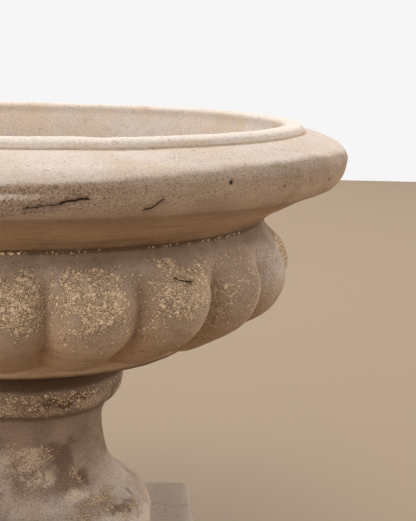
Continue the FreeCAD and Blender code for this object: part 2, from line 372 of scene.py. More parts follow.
class Build:
    """Gathers points, faces and painted values of one mesh."""

    def __init__(self):
        self.points = []
        self.faces = []
        self.count = 0

    def add(self, points):
        first = self.count
        self.points.append(np.asarray(points, float).reshape(-1, 3))
        self.count += len(self.points[-1])
        return first

    def face(self, faces, flip=False):
        faces = np.asarray(faces)
        self.faces.append(faces[:, ::-1] if flip else faces)

    def grid(self, points, flip=False):
        """Adds a grid of points with quads between them; its columns close on themselves.
        Returns where its first and its last row start."""
        rows, cols = points.shape[:2]
        start = self.add(points)
        i, j = np.meshgrid(np.arange(rows - 1), np.arange(cols), indexing="ij")
        k = (j + 1) % cols
        a, b = i * cols, (i + 1) * cols
        self.face(start + np.stack([a + j, a + k, b + k, b + j], -1).reshape(-1, 4), flip)
        return start, start + (rows - 1) * cols

    def cap(self, ring, ring_start, height, holes, spacing, facing_up):
        """Closes a ring of points already in the mesh. Returns where each hole's points start."""
        points, triangles = fill_flat(ring[:, :2], holes, spacing)
        fresh = points[len(ring):]
        first = self.add(at_height(fresh, height))
        index = np.concatenate([ring_start + np.arange(len(ring)), first + np.arange(len(fresh))])
        self.face(index[triangles], flip=not facing_up)
        starts = []
        for *_, sides in holes:
            starts.append(first)
            first += sides
        return starts

    def bore(self, top, bottom, count):
        """The wall of a hole between two rings of points, seen from inside the hole."""
        i, k = ring_steps(count)
        self.face(np.stack([bottom + i, bottom + k, top + k, top + i], -1), flip=True)

    def mesh(self, name, values):
        """The finished object. values maps a painted value's name to numbers for the first points;
        any points after them, on flat faces and in holes, take the first number."""
        points = np.concatenate(self.points)
        mesh = bpy.data.meshes.new(name)
        sizes = np.concatenate([np.full(len(f), f.shape[1]) for f in self.faces])
        corners = np.concatenate([f.ravel() for f in self.faces])
        mesh.vertices.add(len(points))
        mesh.vertices.foreach_set("co", (points * MM).astype(np.float32).ravel())
        mesh.loops.add(len(corners))
        mesh.loops.foreach_set("vertex_index", corners.astype(np.int32))
        mesh.polygons.add(len(sizes))
        starts = np.concatenate([[0], np.cumsum(sizes)[:-1]])
        mesh.polygons.foreach_set("loop_start", starts.astype(np.int32))
        mesh.update(calc_edges=True)
        mesh.validate()
        mesh.shade_smooth()
        for label, numbers in values.items():
            painted = np.full(len(points), float(np.ravel(numbers)[0]), np.float32)
            painted[:np.size(numbers)] = np.ravel(numbers)
            layer = mesh.attributes.new(label, "FLOAT", "POINT")
            layer.data.foreach_set("value", painted)
        return linked(name, mesh)


def azimuth_of(points):
    return np.degrees(np.arctan2(points[..., 1], points[..., 0]))


def turned_by(angle, centre):
    """How far an azimuth is from a centre, in degrees from -180 to 180."""
    return (angle - centre + 180.0) % 360.0 - 180.0


# ---- bowl

BOWL_COLUMNS = ((-106.0, 1.7), (-86.0, 0.8), (-65.0, 1.6), (-20.0, 5.8))  # azimuth, spacing
CRACKS = (  # corners (azimuth, height), half width, depth
    (((-84.8, 367.9), (-83.6, 368.5), (-82.4, 369.6), (-80.7, 370.2)), 0.32, 0.8),
    (((-80.1, 370.7), (-79.3, 372.0), (-78.3, 372.2), (-77.5, 373.1), (-76.6, 373.2)), 0.72, 1.6),
    (((-68.4, 365.3), (-67.4, 366.0), (-66.8, 367.2), (-66.6, 368.9), (-66.0, 371.3)), 0.48, 1.1),
    (((-56.3, 310.8), (-55.6, 309.3), (-54.6, 308.9), (-53.3, 307.6)), 0.48, 1.0),
)
PITS = (  # azimuth, height, radius, depth; below 0 is a pale chip
    (-54.9, 379.7, 2.4, 1.6), (-43.4, 373.8, 1.6, 0.8), (-27.7, 371.8, 1.8, 0.9),
    (-36.3, 375.1, 1.2, 0.7), (-74.7, 313.2, 2.3, -0.5), (-74.0, 308.9, 2.2, -0.5),
    (-79.5, 311.0, 1.7, -0.4), (-96.0, 376.4, 2.0, 1.2), (40.0, 378.0, 2.6, 1.5),
    (148.0, 374.0, 2.2, 1.2), (-160.0, 380.5, 2.4, 1.3), (95.0, 366.0, 2.0, 1.1),
)
LOBE_WEAR = {0: 1.1, 1: 1.05, 2: 0.66, 3: 0.30, 4: 0.15, 19: 0.9}  # flakes, from the front lobe on
OFF_CRACK = 8.0  # painted distance from a crack where there is none
TONE_BREAK = 169.2  # above the seat, where the pale top gives way to the rough side
ROUGH_FOOT = 151.7  # above the seat, where the rough side ends over the smooth soffit
INSIDE_PALE = 0.74


def rim_wave(azimuth, level, swing):
    """A height that rises and falls by swing three times round the rim, level above the seat."""
    return SEAT + level + swing * np.sin(np.radians(3.0 * (azimuth + 67.0)))


def bowl_outline():
    """Rows of the bowl, from the edge of its floor up inside, over the rim and down to the seat.
    Returns the rows, and for each how far the lobes stand out there, from 0 to 1."""
    path = Path(FLOOR_RADIUS, FLOOR_Z)
    path.run(
        (LOBE_CREST - 15.5 - WALL, LOBE_Z, -10.0, 7.0),
        (SEAM - WALL, SEAM_Z, -1.5, 7.0),
        (LIP_INNER, ROLL_Z, 4.0, 5.0),
        (LIP_INNER, LIP_SIDE_Z - 1.0, 0.0, 1.6),
        (LIP_CREST, LIP_Z, 2.0, 1.5),
        (LIP_OUTER - 0.8, LIP_SIDE_Z, 1.6, 1.5),
        (LIP_OUTER, ROLL_Z, 0.0, 1.3),
        (ROLL_OUTER, ROLL_OUTER_Z, 1.6, 2.4),
        (RIM, NOSE_Z, 2.1, 1.7),
        (NOSE_BOTTOM, NOSE_LOW_Z, 0.2, 1.3),
        (NOSE_INNER, SOFFIT_Z, 1.0, 1.5),
        (COVE_OUTER, COVE_Z, -0.8, 3.2),
        (SEAM, SEAM_Z, -1.6, 2.0),
        (BAND + 0.4, BAND_Z, 0.5, 1.5))
    above = len(path.points)
    path.arc(LOBE_CREST, LOBE_Z, 3.6, 1.8)
    fade = len(path.points)
    low_turn = math.pi / 2 - LOBE_SLOPE
    x = LOBE_CREST - LOBE_LOWER * (1 - math.cos(low_turn))
    z = LOBE_Z - LOBE_LOWER * math.sin(low_turn)
    path.arc(x, z, LOBE_LOWER * (1 - math.cos(low_turn / 2)), 2.0)
    x -= LOBE_RUN * math.cos(LOBE_SLOPE)
    z -= LOBE_RUN * math.sin(LOBE_SLOPE)
    path.arc(x, z, 0.0, 2.0)
    x -= LOBE_UNDER * math.sin(LOBE_SLOPE)
    path.arc(x, RING_TOP_Z, LOBE_UNDER * (1 - math.cos(LOBE_SLOPE / 2)), 2.4)
    path.arc(RING + 1.5, RING_TOP_Z, 0.0, 3.0)
    below = len(path.points)
    path.run(
        (RING, RING_TOP_Z - 1.0, 0.0, 1.5),
        (RING - 1.0, RING_Z + 1.0, 0.0, 2.6),
        (RING - 2.2, RING_Z, 0.0, 1.5),
        (SEAT_RADIUS + 1.5, RING_Z, 0.0, 12.0),
        (SEAT_RADIUS, RING_Z - 1.5, 0.0, 1.5),
        (SEAT_RADIUS, SEAT, 0.0, 7.0))
    rows = np.array(path.points)
    belly = slice(above - 3, below - 2)
    rows[belly] = softened(rows[belly], 8)
    lobed = np.zeros(len(rows))
    lobed[above:fade] = smooth(-0.05, 0.75, np.linspace(0.0, 1.0, fade - above))
    lobed[fade:below] = 1.0
    lobed[below - 5:below] = np.linspace(1.0, 0.55, 5)
    return rows, lobed


def lobe_depth(radius, offset):
    """How far the gadrooned surface lies inside the crest line, offset radians from a crest."""
    valley = 1.3  # how softly two lobes meet
    widest = 0.98 * LOBE_SECTION
    total = 0.0
    for angle in (np.abs(offset), LOBE_PITCH - np.abs(offset)):
        reach = np.minimum(radius * np.sin(angle), widest)
        depth = LOBE_SECTION - np.sqrt(LOBE_SECTION ** 2 - reach ** 2)
        total = total + np.exp(-depth / valley)
    return -valley * np.log(total)


def gadrooned(rows, lobed, angles):
    """Points of the bowl's rows turned round the axis, and how deep each lies in a valley."""
    tangent = np.gradient(rows, axis=0)
    tangent /= np.linalg.norm(tangent, axis=1, keepdims=True)
    tangent = softened(tangent, 12)
    inward = np.stack([tangent[:, 1], -tangent[:, 0]], -1)
    half = LOBE_PITCH / 2
    offset = (angles + math.pi / 2 + half) % LOBE_PITCH - half
    depth = lobe_depth(rows[:, :1], offset[None, :]) * lobed[:, None]
    radius = rows[:, :1] + inward[:, :1] * depth
    height = rows[:, 1:] + inward[:, 1:] * depth
    return turned_rows(radius, height, angles), depth


def soil_stains(points):
    """Painted wash and grime inside the bowl, stronger towards its floor."""
    z = points[..., 2]
    runs = fractal(points * (1.0, 1.0, 0.22), 24.0, 3, 52)
    soil = 0.50 * smooth(SEAT + 100.0, FLOOR_Z, z)
    soil = soil + 0.15 * smooth(FLOOR_Z + 14.0, FLOOR_Z + 4.0, z)
    return 0.28 + 0.45 * runs, np.clip(0.12 * runs + soil * (0.6 + 0.15 * runs), 0.0, 1.0)


def pit_reach(place, level, size, azimuth, z, radius):
    """Distance from a pit's middle, in radii of the pit."""
    return np.hypot(np.radians(turned_by(azimuth, place)) * radius, z - level) / size


def cuts(azimuth, z, radius, outside):
    """Relief of the cracks and pits in millimetres, and the painted values that colour them:
    crack is 1 at a crack and fades beside it, across is the distance from its middle in half
    widths, and dark is 1 in a pit."""
    halo = 1.8  # reach of a crack's stain
    bevel = 0.35  # how far a crack's edges are worn back
    faint = 0.002  # where a crack's stain ends
    relief, dark, crack = (np.zeros_like(z) for _ in range(3))
    across = np.full_like(z, OFF_CRACK)
    for corners, half_width, deep in CRACKS:
        away, side = distance_to_line(azimuth, z, radius, corners)
        close = np.exp(-(away / halo) ** 2) * outside
        across = np.where(close > np.maximum(crack, faint), side * away / half_width, across)
        crack = np.maximum(crack, close)
        relief -= deep * np.exp(-(away / (half_width + bevel)) ** 2) * outside
    for *pit, deep in PITS:
        away = pit_reach(*pit, azimuth, z, radius)
        relief -= deep * np.exp(-away ** 2) * outside
        if deep > 0.0:
            dark = np.maximum(dark, 0.75 * np.exp(-(away * 1.3) ** 4) * outside)
    return relief, {"crack": crack, "across": across, "dark": dark}


def lobe_flakes(base, azimuth, z, groove):
    """Painted flakes on the backs of the lobes, and a few in the valleys between them."""
    flake = np.zeros_like(z)
    sideways = 2.6 * fractal(base, 26.0, 3, 50)
    upwards = 8.0 * fractal(base, 20.0, 3, 51)
    clumps = 0.95 + 0.25 * value_noise(base, 11.0, 55)
    for lobe in range(LOBES):
        chance = scatter(np.array([[lobe, 3, 1]]), 43)[0]
        wear = LOBE_WEAR.get(lobe, 0.15 + 0.85 * chance)
        width = 5.4 + 1.2 * math.sin(5.0 * lobe)
        low = SEAT + 77.0 + 4.0 * math.sin(3.0 * lobe)
        turned = turned_by(azimuth, FRONT + lobe * 360.0 / LOBES) - 0.6 + sideways
        here = stretch(turned, -width, width, 5.0)
        here = here * stretch(z + upwards, low, SEAT + 96.0, 15.0)
        flake = np.maximum(flake, wear * here * clumps)
    drops = 0.8 * stretch(z, SEAT + 55.0, SEAT + 92.0, 8.0) * groove
    drops = drops * smooth(0.1, 0.5, value_noise(base, 16.0, 44))
    return np.maximum(flake, 0.6 * drops)


def bowl_wear(base, depth, lobed, outside):
    """Relief in millimetres and painted values of the bowl's surface."""
    azimuth = azimuth_of(base)
    radius = np.hypot(base[..., 0], base[..., 1])
    z = base[..., 2]
    on_lobes = lobed[:, None]

    # the rough side of the nose lies between the pale top and the smooth soffit
    wander = fractal(base, 22.0, 3, 41)
    above = z - rim_wave(azimuth, TONE_BREAK, 3.6) - 0.9 * wander
    below = z - rim_wave(azimuth, ROUGH_FOOT, 4.6) - 1.8 * wander
    rough = outside * smooth(-2.5, 3.0, below) * (1.0 - smooth(-1.0, 2.0, above))
    rough = np.maximum(rough, 0.35 * outside * stretch(z, BAND_Z - 6.0, SEAM_Z - 1.0, 5.0))
    rough *= 1.0 - 0.65 * smooth(-0.1, 0.6, facing(azimuth, -25.0, 1.5))
    streak = stretch(z, SEAT + 159.2, SEAT + 161.0, 2.2)
    streak = streak * smooth(0.45, 0.75, facing(azimuth, -100.0, 3.0))
    pale = np.maximum(smooth(-2.0, 4.0, above), 0.75 * rough * streak)
    pale = np.where(outside, pale, INSIDE_PALE)
    pale = pale * (1.0 - 0.28 * outside * smooth(0.55, 0.95, facing(azimuth, WARM_SIDE)))
    # painted highlight: a paler patch on a lobe at the right side, standing in for light falling on
    # it from the right
    lit_lobe_highlight = patch(azimuth, z, (-20.0, SEAT + 86.0), (15.0, 24.0))
    pale = np.maximum(pale, 0.55 * outside * lit_lobe_highlight)
    for *pit, deep in PITS:
        if deep < 0.0:
            away = pit_reach(*pit, azimuth, z, radius)
            pale = np.maximum(pale, 0.8 * np.exp(-away ** 4))

    # grime gathers in the valleys and beside the lip; the seam is a dark line with painted shadow
    # round it, and painted shade lies under the bowl
    groove = smooth(2.2, 7.5, np.clip(depth * on_lobes, 0.0, None))
    seam_line_and_shade = 0.75 * np.exp(-((z - SEAM_Z - 1.0) / 1.3) ** 2)
    # painted shadow on the cove above the seam and on the band below it, where the rim's overhang
    # shades them
    seam_line_and_shade = seam_line_and_shade + 0.62 * stretch(z, SEAM_Z - 3.0, SEAM_Z + 5.0, 14.0)
    seam_line_and_shade *= 0.85 + 0.15 * value_noise(base, 35.0, 46)
    # painted shade under the bowl, on the lower part of the fillet ring and under the ends of the
    # lobes
    under_shade = 0.75 * smooth(RING_Z + 4.0, RING_Z - 1.0, z)
    under_shade = under_shade + 0.24 * smooth(RING_TOP_Z + 2.0, RING_TOP_Z - 4.0, z)
    grime_and_shade = outside * np.clip(seam_line_and_shade * (radius < COVE_OUTER) + 0.14 * groove + under_shade, 0.0, 1.0)
    lip_groove = np.exp(-((radius - LIP_OUTER - 0.5) / 1.8) ** 2)
    lip_groove = lip_groove * stretch(z, ROLL_Z - 1.2, ROLL_Z + 1.3, 1.0)
    grime_and_shade = np.maximum(grime_and_shade, 0.5 * lip_groove)

    flake = lobe_flakes(base, azimuth, z, groove) * (on_lobes > 0.0)
    grains = np.exp(-((z - SEAM_Z - 0.4) / 0.9) ** 2)
    grains = grains * smooth(-0.5, 0.1, value_noise(base, 40.0, 45))
    flake = np.maximum(flake, 0.36 * outside * grains)
    thin = stretch(z, RING_TOP_Z + 14.0, BAND_Z - 8.0, 6.0)
    flake = np.maximum(flake, 0.12 * outside * thin)

    inside_wash, inside_grime = soil_stains(base)
    rim_wash = 0.18 * smooth(0.1, 0.9, facing(azimuth, WARM_SIDE)) * smooth(-4.0, 7.0, above)
    rim_wash = rim_wash + 0.75 * lip_groove
    lobe_wash = 0.25 * (on_lobes > 0.5) * smooth(SEAT + 95.0, SEAT + 70.0, z)
    wash = np.where(outside, lobe_wash + rim_wash, inside_wash)
    wash = np.maximum(wash, 0.42 * flake)
    grime_and_shade = np.where(outside, grime_and_shade, np.maximum(grime_and_shade, inside_grime))
    # painted warm bounce light from the floor on the undersides of the rim, the cove, the low parts
    # of the lobes and the valleys; the small even share on all the lobes is their own warmer tone
    rim_bounce_light = 0.55 * smooth(NOSE_LOW_Z + 13.0, NOSE_LOW_Z + 4.0, z)
    rim_bounce_light = rim_bounce_light + 0.45 * smooth(SOFFIT_Z, COVE_Z, z)
    lobe_warm_and_bounce = 0.12 + 0.80 * smooth(SEAT + 85.0, SEAT + 25.0, z) + 0.25 * groove
    warm_and_bounce = outside * np.where(z > SEAM_Z, rim_bounce_light, lobe_warm_and_bounce) * (1.0 - 0.3 * rough)

    relief, cut_values = cuts(azimuth, z, radius, outside)
    spot, mark = nearest_spot(base * (1.0, 1.0, 1.6), 5.5, 47)
    relief -= rough * 0.55 * (mark > 0.45) * (1.0 - smooth(0.12, 0.42, spot))
    relief += rough * 0.22 * fractal(base * (1.0, 1.0, 1.8), 5.0, 2, 48)
    joint = np.exp(-((z - SEAM_Z - 1.2) / 1.2) ** 2)
    relief -= 0.35 * joint * outside * (radius < SEAM + 6.0)
    spot, mark = nearest_spot(base, 7.0, 49)
    relief += flake * 0.3 * (mark - 0.4) * (1.0 - smooth(0.25, 0.6, spot))
    return relief, {"pale": pale, "rough": rough, "grime_and_shade": grime_and_shade, "flake": flake, "warm_and_bounce": warm_and_bounce,
                    "wash": wash, "worn": smooth(LIP_SIDE_Z - 1.0, LIP_Z, z), **cut_values}


def make_bowl():
    rows, lobed = bowl_outline()
    base, depth = gadrooned(rows, lobed, columns(RIM, BOWL_COLUMNS))
    lip = int(np.argmax(rows[:, 1]))
    outside = np.zeros(base.shape[:2], bool)
    outside[lip:] = True
    relief, values = bowl_wear(base, depth, lobed, outside)
    relief = uneven(base, (0.5, 80.0, 2, 11), (0.25, 17.0, 2, 12), (0.1, 6.0, 1, 13)) + relief
    relief = relief * kept_at_ends(len(rows), 3)[:, None]
    moved = base + surface_normals(base) * relief[..., None]
    build = Build()
    first, last = build.grid(moved, flip=True)
    holes = [(0.0, 0.0, ROD_HOLE, ROD_SIDES), (0.0, DRAIN_Y, DRAIN_HOLE, DRAIN_SIDES)]
    tops = build.cap(moved[0], first, FLOOR_Z, holes, 5.0, True)
    bottoms = build.cap(moved[-1], last, SEAT, holes, 10.0, False)
    for (*_, sides), top, bottom in zip(holes, tops, bottoms):
        build.bore(top, bottom, sides)
    flat = np.concatenate(build.points[1:])
    for label, numbers in zip(("wash", "grime_and_shade"), soil_stains(flat)):
        values[label] = np.concatenate([np.ravel(values[label]), numbers])
    return build.mesh("stone_bowl", values)


# ---- pedestal

PEDESTAL_BORE = 41.5
FOOT_RADIUS = 102.6
FOOT_HOLLOW = 84.1


def pedestal_outline():
    """Rows of the pedestal, from its bore over the collar, down the outside and up its hollow."""
    path = Path(PEDESTAL_BORE, COLLAR)
    path.run(
        (SEAT_RADIUS, COLLAR, 0.0, 3.0),
        (77.0, COLLAR - 21.0, 6.6, 1.2),
        (67.5, COLLAR - 35.5, 2.4, 1.3),
        (60.0, FOOT + 113.0, -2.4, 1.7),
        (62.3, FOOT + 93.0, -0.5, 1.8),
        (82.1, FOOT + 60.0, -3.6, 1.8),
        (FOOT_RADIUS, FOOT + 35.0, 4.2, 1.6),
        (FOOT_RADIUS, FOOT + 1.5, 0.0, 2.2),
        (FOOT_RADIUS - 1.0, FOOT, 0.0, 1.5),
        (FOOT_HOLLOW, FOOT, 0.0, 6.0),
        (FOOT_HOLLOW, FOOT + 29.0, 0.0, 9.0),
        (PEDESTAL_BORE, FOOT + 93.0, 2.0, 9.0),
        (PEDESTAL_BORE, COLLAR - 2.0, 0.0, 12.0))
    return np.array(path.points)


PEDESTAL_COLUMNS = ((-118.0, 1.2), (8.0, 2.8))
COLUMN_RADIUS = 80.0  # where the spacing of those columns is measured
RED_PATCHES = (  # azimuth, height, half width in degrees, half height
    (-65, 192, 15, 4), (-62, 144, 13, 13), (-46, 120, 9, 5),
    (-30, 98, 13, 4), (-112, 110, 9, 10), (-150, 140, 12, 14),
    (75, 118, 14, 10), (110, 150, 10, 12), (160, 100, 16, 6),
    (30, 190, 16, 5), (130, 192, 13, 4), (-130, 190, 12, 5),
)
WASH_PATCHES = (  # a sandy ochre wash
    (-89, 143, 15, 16), (-78, 124, 7, 8), (-55, 111, 10, 4),
    (150, 142, 18, 16), (90, 122, 14, 12), (-160, 112, 18, 12),
    (25, 140, 12, 14), (-100, 186, 16, 6), (-70, 183, 20, 3.5),
    (-42, 188, 12, 7), (100, 188, 40, 6), (0, 188, 25, 5),
    (180, 188, 30, 5),
)
PALE_FLAKES = (  # light flakes round the foot and beside the stains
    (-60, 97, 9, 4), (-47, 103, 11, 4), (-36, 107, 10, 4),
    (-24, 92, 14, 5), (-75, 148, 6, 8), (-52, 126, 8, 5),
    (80, 98, 20, 8), (-160, 100, 22, 9), (130, 102, 14, 7),
)


def make_pedestal():
    rows = pedestal_outline()
    base = turned_rows(rows[:, :1], rows[:, 1:], columns(COLUMN_RADIUS, PEDESTAL_COLUMNS))
    looped = np.concatenate([base[-1:], base, base[:1]])
    normal = surface_normals(looped)[1:-1]
    z = base[..., 2]
    radius = np.hypot(base[..., 0], base[..., 1])
    red = patches(base, RED_PATCHES, 54)
    flake = stretch(z, COLLAR - 31.0, COLLAR - 15.0, 4.0)
    flake = flake * (0.30 + 0.25 * value_noise(base, 40.0, 51))
    flake = np.maximum(flake, 0.6 * patches(base, PALE_FLAKES, 56))
    wash = 0.62 * patches(base, WASH_PATCHES, 58)
    # painted shade: dark at the top of the collar under the bowl, lighter over the rest of the
    # collar, and a band just below the collar
    shade = smooth(COLLAR - 16.0, COLLAR - 8.0, z)
    shade = shade + 0.5 * stretch(z, COLLAR - 38.0, COLLAR - 34.0, 3.0)
    shade = np.maximum(shade, 0.38 * smooth(COLLAR - 42.0, COLLAR - 30.0, z))
    pale = 0.60 * smooth(FOOT + 105.0, FOOT + 40.0, z) + 0.5 * wash
    pale = pale + 0.3 * smooth(-0.2, 0.6, fractal(base, 35.0, 2, 52))
    foot_edge = stretch(z, FOOT + 22.0, FOOT + 36.0, 6.0) * (radius > 90.0)
    spot, mark = nearest_spot(base, 6.0, 53)
    chips = 0.3 * np.maximum(flake, red) * (mark - 0.5) * (1.0 - smooth(0.25, 0.6, spot))
    relief = chips - 0.35 * red
    relief = uneven(base, (0.4, 60.0, 2, 21), (0.22, 14.0, 2, 22), (0.1, 5.0, 1, 23)) + relief
    build = Build()
    first, last = build.grid(base + normal * relief[..., None], flip=True)
    build.bore(first, last, base.shape[1])
    return build.mesh("stone_pedestal", {
        "pale": pale, "grime_and_shade": np.clip(shade + 0.3 * red, 0.0, 1.0), "flake": flake, "red": red,
        "warm_and_bounce": 0.3 * stretch(z, FOOT, FOOT + 28.0, 4.0),
        "wash": np.maximum(wash, 0.55 * foot_edge)})


# ---- plinth

PLINTH_CORNER = 11.0
PLINTH_EDGE = 6.5
QUARTER_BULGE = 0.293  # how far a quarter circle of radius 1 stands off its chord
RECESS = 24.0
RECESS_DEPTH = 18.0
WEEP_HOLE = 5.5
WEEP_CIRCLE = 33.0
DAMP_LINES = (84.0, -128.0)  # the y of two wavy tide marks on the top


def square_ring(inset, spacing):
    """Points round the plinth's square plan with rounded corners, moved in by inset."""
    per_corner = 8
    side = PLINTH_HALF - PLINTH_CORNER
    radius = PLINTH_CORNER - inset
    points = []
    per_side = round(2 * side / spacing)
    for quarter in range(4):
        turn = math.pi / 2 * quarter
        local = [(PLINTH_HALF - inset, y)
                 for y in np.linspace(-side, side, per_side, endpoint=False)]
        local += [(side + radius * math.cos(a), side + radius * math.sin(a))
                  for a in np.linspace(0.0, math.pi / 2, per_corner, endpoint=False)]
        c, s = math.cos(turn), math.sin(turn)
        points += [(c * x - s * y, s * x + c * y) for x, y in local]
    return np.array(points)


def make_plinth():
    low, high = plinth_low[2], plinth_high[2]
    section = Path(2.0, low)
    section.run(
        (0.0, low + 2.0, 0.5, 1.0),
        (0.0, high - PLINTH_EDGE, 0.0, 2.6),
        (PLINTH_EDGE, high, PLINTH_EDGE * QUARTER_BULGE, 1.3),
        (PLINTH_EDGE + 2.5, high, 0.0, 1.5))
    base = np.array([at_height(square_ring(inset, 3.0), z) for inset, z in section.points])
    relief = uneven(base, (0.55, 70.0, 2, 31), (0.25, 16.0, 2, 32))
    relief *= kept_at_ends(len(base), 2)[:, None]
    moved = base - surface_normals(base) * relief[..., None]
    build = Build()
    first, last = build.grid(moved)
    weeps = [(y, x, WEEP_HOLE, WEEP_SIDES) for x, y in circle_points(WEEP_CIRCLE, 3)]
    rod = (0.0, 0.0, ROD_HOLE, ROD_SIDES)
    recess = (0.0, 0.0, RECESS, RECESS_SIDES)
    tops = build.cap(moved[-1], last, high, [rod] + weeps, 4.0, True)
    bottoms = build.cap(moved[0], first, low, [recess] + weeps, 12.0, False)
    ceiling = circle_points(RECESS, RECESS_SIDES)
    ceiling_start = build.add(at_height(ceiling, low + RECESS_DEPTH))
    inner = build.cap(ceiling, ceiling_start, low + RECESS_DEPTH, [rod], 8.0, False)
    build.bore(ceiling_start, bottoms[0], RECESS_SIDES)
    build.bore(tops[0], inner[0], ROD_SIDES)
    for top, bottom in zip(tops[1:], bottoms[1:]):
        build.bore(top, bottom, WEEP_SIDES)
    points = np.concatenate(build.points)
    wave = 4.0 * np.sin(points[:, 0] / 5.5) + 6.0 * value_noise(points, 30.0, 34)
    damp = sum(np.exp(-((points[:, 1] - line - wave) / 3.0) ** 2) for line in DAMP_LINES)
    damp *= smooth(high - 9.0, high - 3.0, points[:, 2])
    pale = 0.65 + 0.15 * fractal(points, 40.0, 2, 33)
    return build.mesh("stone_plinth", {"pale": pale, "rough": np.full_like(pale, 0.08),
                                       "grime_and_shade": 0.45 * damp})


# ---- shaders

class Shader:
    """A new material and short ways to add and join its nodes."""

    def __init__(self, name, roughness, metallic=0.0, specular=0.5):
        self.material = bpy.data.materials.new(name)
        self.material.use_nodes = True
        self.tree = self.material.node_tree
        self.surface = self.tree.nodes["Principled BSDF"]
        self.surface.inputs["Roughness"].default_value = roughness
        self.surface.inputs["Metallic"].default_value = metallic
        self.surface.inputs["Specular IOR Level"].default_value = specular
        self.place = self.node("TexCoord").outputs["Object"]

    def node(self, kind, **inputs):
        """A new node with values or links for its inputs."""
        node = self.tree.nodes.new("ShaderNode" + kind)
        for name, value in inputs.items():
            self.put(node.inputs[name], value)
        return node

    def put(self, socket, value):
        if isinstance(value, bpy.types.NodeSocket):
            self.tree.links.new(value, socket)
        elif isinstance(value, tuple) and socket.type == "RGBA":
            socket.default_value = (*value, 1.0)
        else:
            socket.default_value = value

    def colour(self, value):
        self.put(self.surface.inputs["Base Color"], value)

    def painted(self, name):
        node = self.node("Attribute")
        node.attribute_name = name
        return node.outputs["Fac"]

    def maths(self, operation, first, second=0.0):
        node = self.node("Math")
        node.operation = operation
        self.put(node.inputs[0], first)
        self.put(node.inputs[1], second)
        return node.outputs[0]

    plus = partialmethod(maths, "ADD")
    minus = partialmethod(maths, "SUBTRACT")
    times = partialmethod(maths, "MULTIPLY")
    most = partialmethod(maths, "MAXIMUM")

    def step(self, value, low, high, start=0.0, end=1.0):
        """Runs smoothly from start to end while the value runs from low to high."""
        node = self.node("MapRange")
        node.interpolation_type = "SMOOTHSTEP"
        for socket, number in zip(node.inputs, (value, low, high, start, end)):
            self.put(socket, number)
        return node.outputs["Result"]

    def mix(self, share, first, second, blend="MIX"):
        node = self.node("Mix")
        node.data_type = "RGBA"
        node.blend_type = blend
        self.put(node.inputs["Factor"], share)
        colours = [socket for socket in node.inputs if socket.type == "RGBA"]
        self.put(colours[0], first)
        self.put(colours[1], second)
        return [socket for socket in node.outputs if socket.type == "RGBA"][0]

    def stretched(self, *scale):
        return self.node("Mapping", Vector=self.place, Scale=scale).outputs["Vector"]

    def wobbled(self, amount, size):
        """Coordinates pushed about by noise, so that cells lose their straight sides."""
        noise = self.node("TexNoise", Vector=self.place, Scale=1.0 / (size * MM))
        node = self.node("VectorMath")
        node.operation = "MULTIPLY_ADD"
        self.put(node.inputs[0], noise.outputs["Color"])
        self.put(node.inputs[1], (amount * MM,) * 3)
        self.put(node.inputs[2], self.place)
        return node.outputs["Vector"]

    def noise(self, size, detail=2.0, roughness=0.5, place=None):
        """Noise from 0 to 1 with features of about that many millimetres."""
        return self.node("TexNoise", Vector=place or self.place, Scale=1.0 / (size * MM),
                         Detail=detail, Roughness=roughness).outputs["Fac"]

    def cells(self, size, place, feature="F1"):
        """Cells of about that many millimetres: the node, for its distance and its colour."""
        node = self.node("TexVoronoi", Vector=place, Scale=1.0 / (size * MM))
        node.feature = feature
        return node

    def numbers(self, cells):
        """Three random numbers for each cell."""
        return self.node("SeparateColor", Color=cells.outputs["Color"]).outputs

    def bump(self, height, depth):
        """Relief: a height of 1 stands depth millimetres out."""
        node = self.node("Bump", Strength=1.0, Distance=depth * MM, Height=height)
        self.put(self.surface.inputs["Normal"], node.outputs["Normal"])


def flake_layer(shader, density, size, place):
    """1 on dried flakes of about that size, 1 on each flake with the cracks round it, and a random
    number for each. More of the cells carry one where the density is high."""
    cells = shader.cells(size, place)
    gaps = shader.cells(size, place, "DISTANCE_TO_EDGE")
    chance = shader.numbers(cells)
    present = shader.step(shader.minus(density, chance[0]), -0.02, 0.02)
    body = shader.step(gaps.outputs["Distance"], 0.04, 0.15)
    return shader.times(present, body), present, chance[1]


BODY_DARK = (0.222, 0.160, 0.118)
BODY_LIGHT = (0.330, 0.248, 0.188)
PALE = (0.56, 0.475, 0.415)
PALE_WARMTH = (0.93, 0.885, 0.81)  # what the warmer patches keep of a pale tone
WORN = (0.66, 0.585, 0.52)
ROUGH_DARK = (0.215, 0.145, 0.098)
ROUGH_LIGHT = (0.345, 0.247, 0.176)
OCHRE = (0.50, 0.345, 0.205)
OCHRE_LIGHT = (0.74, 0.545, 0.355)
# dark tone for grime and for painted shade
GRIME_AND_SHADE = (0.074, 0.035, 0.014)
WASH_LIGHT = (0.56, 0.43, 0.30)
RED = (0.105, 0.052, 0.033)
# warm tone of the stone, also used for painted bounce light on undersides
WARM_AND_BOUNCE = (0.455, 0.27, 0.138)
CRACK = (0.012, 0.008, 0.006)
DUST = (0.16, 0.135, 0.11)
ZINC_BRIGHT = (0.50, 0.50, 0.49)
ZINC_BLOOM = (0.30, 0.28, 0.26)


